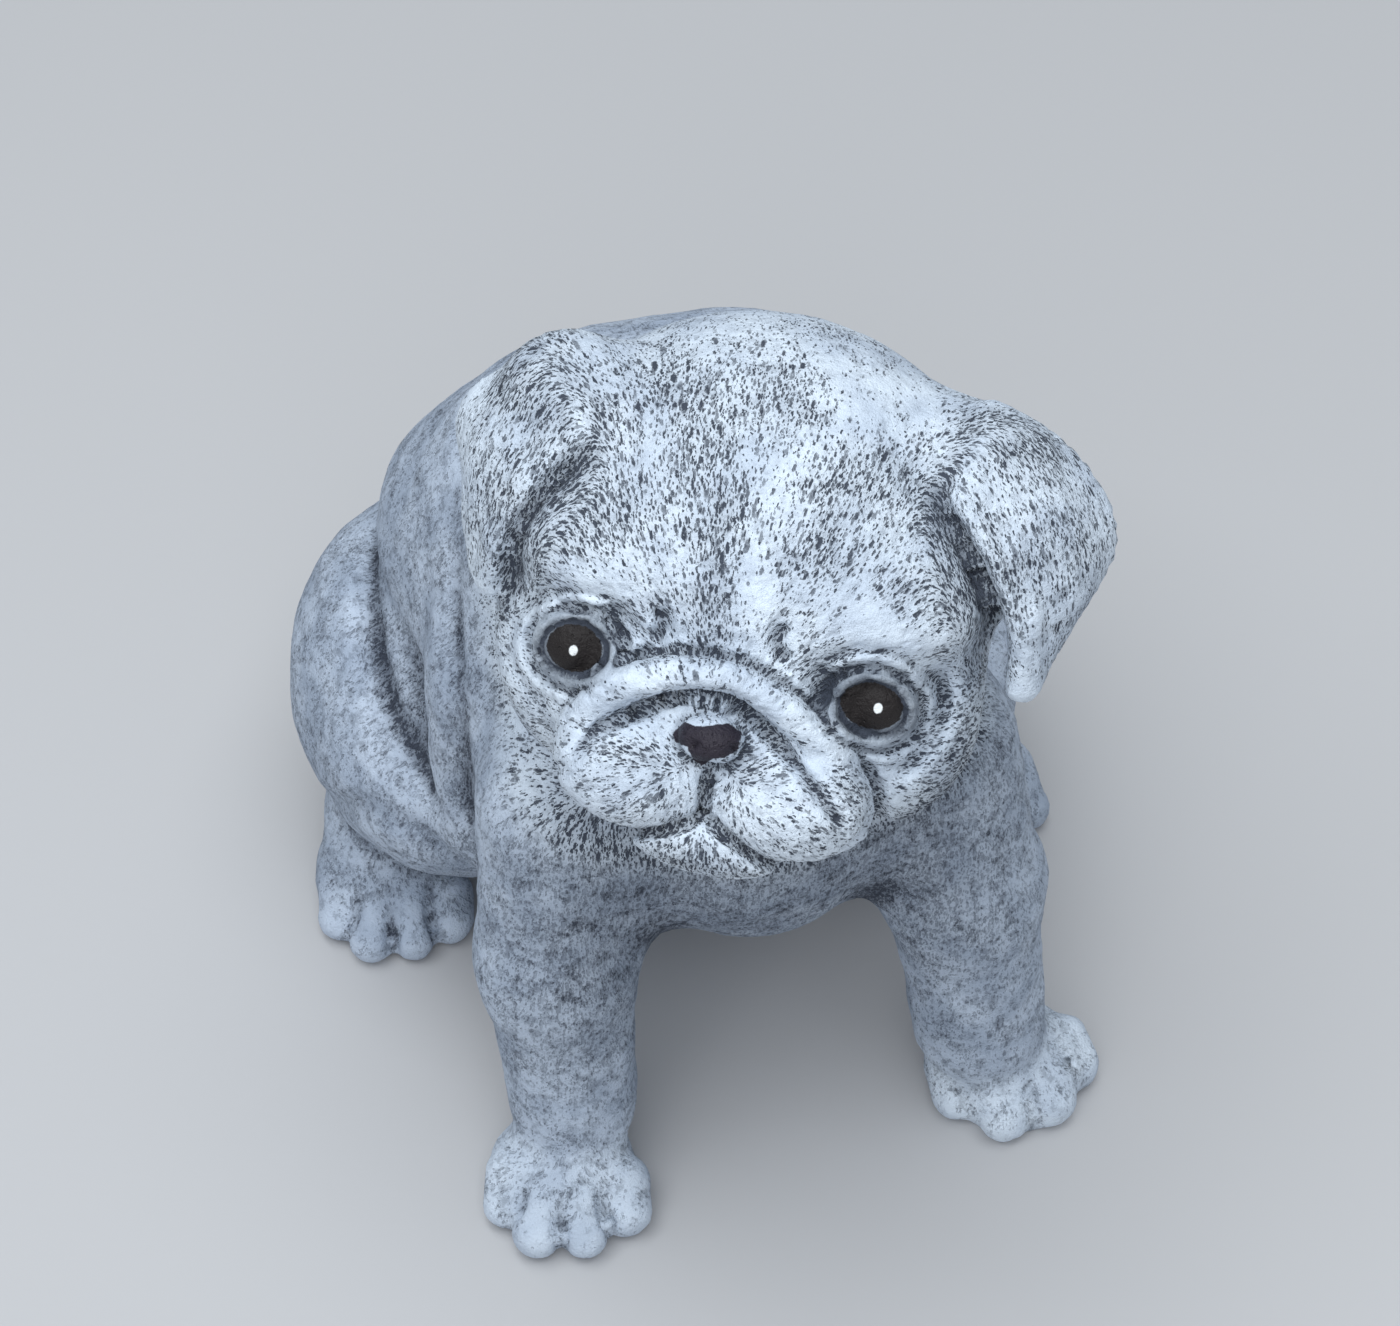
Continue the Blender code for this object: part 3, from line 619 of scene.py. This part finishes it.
def carved():
    """The finer piece, with the pits and lumps of the cast and all that its paint reads."""
    pug, shape = fine_skin()
    shape.verts.ensure_lookup_table()
    shape.verts.index_update()
    places = grid_places(shape)
    normals = np.array([vertex.normal for vertex in shape.verts])
    ends = linked(shape)
    flow = lie_of_coat(places, normals)
    q = in_head(places)
    seen = across_face(q)
    front = q[:, 1] < FACE_REACH
    eyes = np.full(len(places), FAR_OFF)
    dots = np.full(len(places), FAR_OFF)
    for middle, half, dot in EYE_PAINT.values():
        rim = (across_eye(seen, middle, half) - 1.0) * min(half)
        eyes = np.where(front, np.minimum(eyes, rim), eyes)
        rim = across_eye(seen, dot, DOT_SIZE) - 1.0
        dots = np.where(front, np.minimum(dots, rim), dots)
    nose = np.where(front, outside(seen, NOSE_PAINT), FAR_OFF)
    smooth = np.minimum(eyes, nose)
    spacing = ((places[ends[:, 0]] - places[ends[:, 1]]) ** 2).sum(1)
    spacing = np.bincount(ends[:, 0], spacing, len(places)) + np.bincount(ends[:, 1], spacing, len(places))
    spacing = spacing / np.bincount(ends.ravel(), minlength=len(places))
    small = evened(places, ends, SMALL_HOLLOW)
    wide = evened(places, ends, WIDE_HOLLOW)
    hollow_small = evened(((small - places) * normals).sum(1) * 0.8 / spacing, ends, 2)
    hollow_wide = ((wide - places) * normals).sum(1)
    head = on_head(places)
    coat = np.where(head, 0.9, 0.0) * np.clip(smooth - 0.8, 0.0, 1.0)
    face = on_face(places)
    coat *= np.where(face, 0.35, 1.0)
    ahead = np.array((SLANT[0], 1.0, SLANT[1])) / 1.124
    facing = np.clip(-3.0 * (normals @ HEAD_AXES) @ ahead, 0.0, 1.0)
    head_share = np.clip((86.0 - np.linalg.norm(places - np.array(HEAD_AT), axis=1)) / 8.0, 0.0, 1.0)
    # the dark wash over the face, with painted shade under the chin and painted light on the brow ridges and
    # the crown
    wash_and_painted_light = washed_and_painted_light(seen, facing) * head_share
    coat = coat * np.clip(0.45 + 0.6 * wash_and_painted_light, 0.0, 1.0)
    depth = pitted(places, normals, flow, coat) * np.where(head, PIT_DEPTH, 0.0)
    rise = lumpy(places, head_share) * np.clip(smooth, 0.0, 1.0) * np.clip(places[:, 2] / 2.0, 0.0, 1.0)
    places = places + (rise - depth)[:, None] * normals
    put_places(shape, places)
    for side in shape.faces:
        side.smooth = True
    shape.to_mesh(pug.data)
    shape.free()
    told(pug, "coat_flow", flow)
    told(pug, "eye_rim", eyes)
    told(pug, "eye_dot", dots)
    told(pug, "nose_rim", nose)
    told(pug, "hollow_small", hollow_small)
    told(pug, "hollow_wide", hollow_wide)
    told(pug, "pit_depth", depth)
    told(pug, "wash_and_painted_light", wash_and_painted_light)
    paws = on_paws(places) * np.clip((PAW_TOP - places[:, 2]) / 8.0, 0.0, 1.0)
    told(pug, "paw_share", paws)
    # each paw painted as light as it is lit: the left fore paw lightest, the right fore paw darker, the hind
    # paws in painted shade
    pale = np.where(places[:, 0] < 0.0, PAW_PAINTED_LIGHT["right"], PAW_PAINTED_LIGHT["left"])
    told(pug, "paw_painted_light", paws * np.where(places[:, 1] > 45.0, PAW_PAINTED_LIGHT["hind"], pale))
    # painted shade in the body's folds along the flank, shoulder and thigh strokes, with a little more wash
    told(pug, "body_fold_shade", np.clip(body_strokes(places) / 3.5, 0.0, 1.0) * (1.0 - head_share))
    # painted shade on the front of the chest under the head, with thicker wash
    level = places[:, 2]
    chest_wash_and_shade = np.clip((level - 40.0) / 40.0, 0.0, 1.0) * np.clip((178.0 - level) / 14.0, 0.0, 1.0)
    aside = np.clip((66.0 - np.abs(places[:, 0])) / 30.0, 0.0, 1.0)
    chest_wash_and_shade *= np.clip(-1.5 * normals[:, 1], 0.0, 1.0) * aside
    # painted shadow in a band on the face along each ear
    ear_painted_shadow = np.zeros(len(places))
    for lines in (RIGHT_EAR, LEFT_EAR):
        far = np.maximum(ear(q, lines), 0.0)
        shade = np.clip(far / 1.2, 0.0, 1.0) * np.exp(-((far / 4.5) ** 2))
        ear_painted_shadow = np.maximum(ear_painted_shadow, shade)
    told(pug, "ear_painted_shadow", np.where(q[:, 1] < 2, ear_painted_shadow, 0.4 * ear_painted_shadow))
    told(pug, "chest_shade_and_wash", chest_wash_and_shade * np.clip((in_head(places)[:, 1] + 34.0) / 8.0, 0.0, 1.0))
    told(pug, "head_share", head_share)
    return pug


SMALL_HOLLOW = 5  # rounds of evening that show the small hollows
WIDE_HOLLOW = 60
# how much of the head's paler paint each paw gets: painted light on the lit fore paws, painted shade on the
# hind paws
PAW_PAINTED_LIGHT = {"right": 0.55, "left": 0.9, "hind": 0.0}

# The eyes and the nose as seen across the face.

FAR_OFF = 9.0
DOT_SIZE = (0.85, 1.15)
EYE_PAINT = {
    -1: ((-29.6, -4.2), (5.4, 5.1), (-29.6, -4.8)),
    1: ((28.3, -3.1), (6.0, 4.9), (29.5, -3.3)),
}
NOSE_PAINT = (
    (-7.5, -17.5), (-5.7, -14.6), (-2.9, -15.0), (-0.1, -14.1), (2.6, -12.9), (5.5, -14.4),
    (5.3, -18.1), (3.4, -20.1), (1.1, -21.0), (-0.9, -23.3), (-2.6, -22.2), (-4.2, -19.7), (-6.8, -19.2),
)

# Where the dark wash stays in the coat, with painted shade under the chin, or is rubbed off with painted light
# on the brow ridges and the crown where the strength is below nothing: the middle across the face, the half
# size and the strength.
WASH_AND_PAINTED_LIGHT = (
    ((-37, 29), (11, 14), 0.8),
    ((-44, 13), (7, 9), 0.9),
    ((-22, 54), (11, 9), 0.75),
    ((-1, 57), (9, 6), 0.9),
    ((-13, 44), (8, 11), 0.6),
    ((15, 41), (9, 9), 0.7),
    ((23, 47), (8, 7), 0.45),
    ((13, 26), (9, 6), 0.65),
    ((33, 42), (7, 8), 0.8),
    ((41, 30), (7, 10), 1.0),
    ((47, 17), (6, 12), 0.9),
    ((-6, 23), (4, 14), 0.7),
    ((-4, 7), (5, 8), 0.8),
    ((-15, 3), (4, 7), 0.45),
    ((9, 7), (4, 7), 0.45),
    ((19, 3), (5, 5), 0.7),
    ((-22, 4), (4, 6), 0.6),
    ((34, 22), (9, 8), 0.5),
    ((55, 40), (12, 14), 0.5),
    ((46, -4), (8, 10), 0.5),
    ((-35, -19), (5, 8), 0.5),
    ((8, -21), (8, 5), 0.7),
    ((28, -26), (5, 8), 0.6),
    # painted shade under the chin
    ((3, -44), (17, 6), 1.0),
    ((-27, 24), (12, 9), 0.6),
    ((-51, 25), (7, 13), 0.55),
    ((-12, 33), (8, 9), 0.35),
    ((-17, -24), (8, 3), 0.8),
    ((44, -13), (7, 9), 0.5),
    ((-13, -31), (12, 8), 0.3),
    ((16, -31), (12, 8), 0.3),
    ((0, -4), (16, 4), 0.25),
    # painted light on the brow ridges, the forehead and the crown, where the wash is also rubbed off
    ((-29, 10), (8, 5), -0.5),
    ((1, 16), (6, 6), -0.4),
    ((15, 62), (12, 8), -0.4),
    ((-34, 47), (8, 8), -0.3),
    ((25, 13), (9, 5), -0.5),
)


def outside(seen, outline):
    """How far places lie outside an outline drawn across the face."""
    outline = np.array(outline, float)
    far = np.full(len(seen), np.inf)
    inside = np.zeros(len(seen), bool)
    for start, end in zip(outline, np.roll(outline, -1, 0)):
        along = end - start
        share = np.clip((seen - start) @ along / (along @ along), 0.0, 1.0)
        far = np.minimum(far, np.linalg.norm(seen - start - share[:, None] * along, axis=1))
        rises = (start[1] > seen[:, 1]) != (end[1] > seen[:, 1])
        level = start[0] + (seen[:, 1] - start[1]) * along[0] / (along[1] if along[1] else 1e-9)
        inside ^= rises & (seen[:, 0] < level)
    return np.where(inside, -far, far)


# The paint.


class Paint:
    """A material laid out as a chain of nodes."""

    def __init__(self, name):
        self.material = bpy.data.materials.new(name)
        self.material.use_nodes = True
        self.tree = self.material.node_tree
        self.shader = self.tree.nodes["Principled BSDF"]

    def node(self, kind, **settings):
        made = self.tree.nodes.new(kind)
        for name, value in settings.items():
            setattr(made, name, value)
        return made

    def join(self, source, socket):
        if isinstance(source, (int, float)):
            socket.default_value = source
        elif isinstance(source, tuple):
            whole = len(source) == len(socket.default_value)
            socket.default_value = source if whole else (*source, 1.0)
        else:
            self.tree.links.new(source, socket)

    def sum(self, operation, first, second=0.0, clamp=False):
        made = self.node("ShaderNodeMath", operation=operation, use_clamp=clamp)
        self.join(first, made.inputs[0])
        self.join(second, made.inputs[1])
        return made.outputs[0]

    def vector(self, operation, first, second=(0.0, 0.0, 0.0)):
        made = self.node("ShaderNodeVectorMath", operation=operation)
        self.join(first, made.inputs[0])
        if operation == "SCALE":
            self.join(second, made.inputs[3])
        else:
            self.join(second, made.inputs[1])
        return made.outputs["Value" if operation in ("DOT_PRODUCT", "LENGTH", "DISTANCE") else "Vector"]

    def between(self, value, low, high, start=0.0, end=1.0):
        """A smooth step from start to end as the value goes from low to high."""
        made = self.node("ShaderNodeMapRange", interpolation_type="SMOOTHSTEP")
        for source, socket in zip((value, low, high, start, end), made.inputs):
            self.join(source, socket)
        return made.outputs[0]

    def mixed(self, share, first, second):
        made = self.node("ShaderNodeMix", data_type="RGBA")
        self.join(share, made.inputs[0])
        self.join(first, made.inputs[6])
        self.join(second, made.inputs[7])
        return made.outputs[2]

    def kept(self, name, output="Fac"):
        return self.node("ShaderNodeAttribute", attribute_name=name).outputs[output]

    def noise(self, place, scale, detail=3.0, rough=0.55):
        made = self.node("ShaderNodeTexNoise")
        self.join(place, made.inputs["Vector"])
        self.join(scale, made.inputs["Scale"])
        self.join(detail, made.inputs["Detail"])
        self.join(rough, made.inputs["Roughness"])
        return made.outputs["Fac"]


def cuts(paint, place, flow, aside, normal, cell, length, width, density, start):
    """Short cuts along the coat, one in some of the cells of a loose pattern."""
    moved = paint.vector("ADD", place, start)
    cells = paint.node("ShaderNodeTexVoronoi", feature="F1")
    paint.join(moved, cells.inputs["Vector"])
    paint.join(1.0 / cell, cells.inputs["Scale"])
    offset = paint.vector("SUBTRACT", moved, cells.outputs["Position"])
    chance = paint.node("ShaderNodeSeparateColor")
    paint.join(cells.outputs["Color"], chance.inputs[0])
    along = paint.sum("DIVIDE", paint.vector("DOT_PRODUCT", offset, flow), length)
    across = paint.sum("DIVIDE", paint.vector("DOT_PRODUCT", offset, aside), width)
    deep = paint.sum("DIVIDE", paint.vector("DOT_PRODUCT", offset, normal), 0.5 * cell)
    far = paint.sum("ADD", paint.sum("MULTIPLY", along, along), paint.sum("MULTIPLY", across, across))
    far = paint.sum("SQRT", paint.sum("ADD", far, paint.sum("MULTIPLY", deep, deep)))
    size = paint.sum("ADD", paint.sum("MULTIPLY", chance.outputs[1], 0.9), 0.5)
    shape = paint.between(paint.sum("DIVIDE", far, size), 0.62, 1.15, 1.0, 0.0)
    there = paint.between(paint.sum("SUBTRACT", density, chance.outputs[0]), 0.0, 0.06)
    strong = paint.sum("ADD", paint.sum("MULTIPLY", chance.outputs[2], 0.5), 0.5)
    return paint.sum("MULTIPLY", paint.sum("MULTIPLY", shape, there), strong)


# The layers of cuts in metres: the size of a cell, the length and width of a cut, and where it starts.
CUTS = (
    (0.0012, 0.00075, 0.00020, (0.0, 0.0, 0.0)),
    (0.0017, 0.0011, 0.00028, (0.31, 0.17, 0.53)),
    (0.0027, 0.0014, 0.00040, (0.71, 0.37, 0.13)),
    (0.0016, 0.00034, 0.00024, (0.21, 0.77, 0.43)),
    (0.0008, 0.00045, 0.00015, (0.51, 0.27, 0.93)),
)
UNEVEN_EDGES = 0.0007  # how far the pattern is shifted to make the cuts' edges uneven
EVEN_DENSITY = 0.3  # of the fourth layer, whose small dots lie everywhere

# Colours of the paint, the first of each pair on the body and the second on the head.
LIGHT = (0.50, 0.575, 0.69), (0.68, 0.765, 0.865)
DULL = (0.36, 0.425, 0.53), (0.54, 0.62, 0.73)
WASH = (0.030, 0.038, 0.058)
NOSE = (0.022, 0.018, 0.028)
EYE = (0.013, 0.010, 0.010)
EYE_DOT = (0.85, 0.88, 0.9)


def added(paint, *shares):
    """The sum of several values, each with its weight."""
    total = 0.0
    for value, weight in shares:
        total = paint.sum("ADD", total, paint.sum("MULTIPLY", value, weight))
    return total


def painted_stone():
    """Pale paint, brushed over a dark wash that stays in the hollows and in the cuts of the coat, with painted
    shade under the chin, on the chest, beside the ears, round the eyes, in the folds and wide hollows and on
    the hind paws, and painted light on the lit paws, the brow ridges and the crown.
    """
    paint = Paint("painted_cast_stone")
    place = paint.node("ShaderNodeTexCoord").outputs["Object"]
    normal = paint.node("ShaderNodeNewGeometry").outputs["Normal"]
    flow = paint.kept("coat_flow", "Vector")
    aside = paint.vector("CROSS_PRODUCT", normal, flow)
    small = paint.kept("hollow_small")
    wide = paint.kept("hollow_wide")
    head = paint.kept("head_share")
    # painted shade on the chest under the head, with thicker wash and more cuts
    chest_wash_and_shade = paint.kept("chest_shade_and_wash")
    # the dark wash, with painted shade under the chin and painted light on the brow ridges and the crown
    wash_and_painted_light = paint.kept("wash_and_painted_light")
    paws = paint.kept("paw_share")
    # the head's paler paint, and painted light on the lit paws
    pale = paint.sum("MAXIMUM", head, paint.kept("paw_painted_light"))
    # painted shade in the body's folds, with more cuts
    fold_shade = paint.kept("body_fold_shade")
    # painted shadow beside the ears, with more cuts
    ear_shadow = paint.kept("ear_painted_shadow")
    waver = paint.noise(place, 70.0, 2.0)
    patches = paint.noise(place, 130.0, 5.0, 0.7)
    mottle = paint.noise(paint.vector("ADD", place, (0.7, 0.1, 0.5)), 330.0, 5.0, 0.75)
    blots = paint.noise(paint.vector("ADD", place, (0.4, 0.9, 0.2)), 700.0, 3.0, 0.7)
    grain = paint.noise(place, 1900.0, 3.0, 0.7)
    shaken = paint.node("ShaderNodeTexNoise")
    paint.join(place, shaken.inputs["Vector"])
    paint.join(1300.0, shaken.inputs["Scale"])
    paint.join(2.0, shaken.inputs["Detail"])
    shift = paint.vector("SUBTRACT", shaken.outputs["Color"], (0.5, 0.5, 0.5))
    shift = paint.vector("SCALE", shift, UNEVEN_EDGES)
    rough_place = paint.vector("ADD", place, shift)

    crease = paint.between(small, 0.03, 0.3)
    deep = paint.between(small, 0.16, 0.5)
    # painted shade in the wide hollows, with the wash, strongest in the body's folds
    broad = paint.between(wide, 0.1, 2.2)
    raised = paint.between(small, -0.03, -0.22)
    patchy = paint.between(patches, 0.47, 0.6)
    # painted shade: a grey ring on the lids round the eyes with fewer cuts, and a fainter darkening over the
    # sockets
    lid_shade = paint.between(paint.kept("eye_rim"), 0.8, 4.6, 1.0, 0.0)
    socket_shade = paint.between(paint.kept("eye_rim"), 2.0, 9.0, 1.0, 0.0)
    dense = added(
        paint,
        (wash_and_painted_light, 0.8),
        (patchy, 0.36),
        (crease, 0.34),
        (broad, 0.3),
        (chest_wash_and_shade, 0.5),
        (ear_shadow, 0.6),
        (raised, -0.25),
        (lid_shade, -0.5),
        (fold_shade, 0.2),
        (1.0, 0.15),
    )
    few = paint.sum("MULTIPLY", dense, 0.65)
    many = paint.sum("MULTIPLY", dense, 1.3)
    dashes = 0.0
    for density, (cell, length, width, start) in zip((dense, dense, few, EVEN_DENSITY, many), CUTS):
        layer = cuts(paint, rough_place, flow, aside, normal, cell, length, width, density, start)
        dashes = paint.sum("MAXIMUM", dashes, layer)
    dashes = paint.sum("MULTIPLY", dashes, paint.between(blots, 0.28, 0.46, 0.55, 1.0))
    shown = paint.between(head, 0.0, 1.0, 0.34, 0.95)

    wash = added(
        paint,
        (crease, 0.2),
        (deep, 0.24),
        (broad, paint.between(head, 0.0, 1.0, 0.55, 0.2)),
        (paint.sum("MULTIPLY", dashes, shown), 1.0),
        (wash_and_painted_light, 0.2),
        (ear_shadow, 0.25),
        (lid_shade, 0.6),
        (socket_shade, 0.14),
        (patchy, 0.08),
        (chest_wash_and_shade, 0.3),
        (paint.kept("pit_depth"), 0.2),
        (paint.between(mottle, 0.46, 0.64), paint.between(head, 0.0, 1.0, 0.42, 0.16)),
        (paint.between(grain, 0.5, 0.75), 0.22),
        (raised, paint.between(head, 0.0, 1.0, -0.25, -0.12)),
        (fold_shade, 0.2),
        (paint.sum("MULTIPLY", paws, deep), -0.1),
        (paint.kept("paw_painted_light"), -0.08),
    )
    wash = paint.sum("MULTIPLY", paint.sum("ADD", wash, 0.0, True), 0.97)
    light = paint.mixed(pale, *LIGHT)
    dull = paint.mixed(pale, *DULL)
    stone = paint.mixed(paint.between(waver, 0.35, 0.68), light, dull)
    colour = paint.mixed(wash, stone, WASH)

    edge = paint.sum("MULTIPLY", paint.sum("SUBTRACT", paint.noise(place, 900.0, 2.0), 0.5), 0.9)
    eye = paint.between(paint.sum("ADD", paint.kept("eye_rim"), edge), -0.12, 0.12, 1.0, 0.0)
    dot = paint.between(paint.kept("eye_dot"), -0.15, 0.15, 1.0, 0.0)
    nose = paint.between(paint.sum("ADD", paint.kept("nose_rim"), edge), -0.15, 0.15, 1.0, 0.0)
    colour = paint.mixed(nose, colour, NOSE)
    colour = paint.mixed(eye, colour, EYE)
    colour = paint.mixed(dot, colour, EYE_DOT)
    paint.join(colour, paint.shader.inputs["Base Color"])
    gloss = paint.sum("MULTIPLY", paint.sum("MAXIMUM", eye, nose), 0.4)
    paint.join(paint.sum("SUBTRACT", 0.9, gloss), paint.shader.inputs["Roughness"])
    paint.shader.inputs["Specular IOR Level"].default_value = 0.3

    height = added(paint, (grain, 0.5), (dashes, -1.0), (blots, 1.1), (mottle, 0.9))
    bump = paint.node("ShaderNodeBump")
    bump.inputs["Strength"].default_value = 0.85
    bump.inputs["Distance"].default_value = 0.0005
    paint.join(height, bump.inputs["Height"])
    paint.join(bump.outputs[0], paint.shader.inputs["Normal"])
    return paint.material


# The floor, the light and the camera.


def floor():
    shape = bmesh.new()
    bmesh.ops.create_grid(shape, x_segments=1, y_segments=1, size=4.0)
    mesh = bpy.data.meshes.new("floor")
    shape.to_mesh(mesh)
    shape.free()
    ground = bpy.data.objects.new("floor", mesh)
    bpy.context.scene.collection.objects.link(ground)
    paint = Paint("pale_floor")
    paint.shader.inputs["Base Color"].default_value = (0.5, 0.5, 0.51, 1.0)
    paint.shader.inputs["Roughness"].default_value = 0.9
    mesh.materials.append(paint.material)


LIT_SPOT = (0.0, 0.0, 0.12)
SKY = (0.86, 0.93, 1.0, 1.0)
SKY_STRENGTH = 0.42


def lamp(name, place, aim, size, power, colour=(1.0, 1.0, 1.0)):
    light = bpy.data.lights.new(name, "AREA")
    light.size = size
    light.energy = power
    light.color = colour
    holder = bpy.data.objects.new(name, light)
    bpy.context.scene.collection.objects.link(holder)
    holder.location = place
    holder.rotation_euler = (Vector(place) - Vector(aim)).to_track_quat("Z", "Y").to_euler()


def studio():
    world = bpy.data.worlds.new("studio")
    bpy.context.scene.world = world
    world.use_nodes = True
    world.node_tree.nodes["Background"].inputs[0].default_value = SKY
    world.node_tree.nodes["Background"].inputs[1].default_value = SKY_STRENGTH
    lamp("high_soft_light", (-0.2, -0.25, 1.5), LIT_SPOT, 1.3, 22.0, (0.93, 0.97, 1.0))
    lamp("front_soft_light", (-0.5, -1.3, 0.9), LIT_SPOT, 1.2, 6.0)


VIEW_PLACE = (-0.1521, -0.645, 0.884)
VIEW_TURN = math.radians(-13.0)
VIEW_DROP = math.radians(49.5)
VIEW_LENS = 121.245


def camera():
    view = bpy.data.cameras.new("view")
    view.sensor_width = 36.0
    view.lens = VIEW_LENS
    view.clip_start = 0.05
    view.clip_end = 50.0
    eye = bpy.data.objects.new("view", view)
    bpy.context.scene.collection.objects.link(eye)
    place = Vector(VIEW_PLACE)
    level = math.cos(VIEW_DROP)
    ahead = Vector((-math.sin(VIEW_TURN) * level, math.cos(VIEW_TURN) * level, -math.sin(VIEW_DROP)))
    right = Vector((math.cos(VIEW_TURN), math.sin(VIEW_TURN), 0.0))
    up = right.cross(ahead)
    eye.matrix_world = Matrix(
        (
            (right.x, up.x, -ahead.x, place.x),
            (right.y, up.y, -ahead.y, place.y),
            (right.z, up.z, -ahead.z, place.z),
            (0.0, 0.0, 0.0, 1.0),
        )
    )
    bpy.context.scene.camera = eye
    bpy.context.scene.view_settings.view_transform = "Standard"


camera()
studio()
floor()
pug = carved()
pug.data.materials.clear()
pug.data.materials.append(painted_stone())
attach(pug, "root")
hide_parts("pug")

print("corners", len(pug.data.vertices), "triangles", sum(len(face.vertices) - 2 for face in pug.data.polygons))
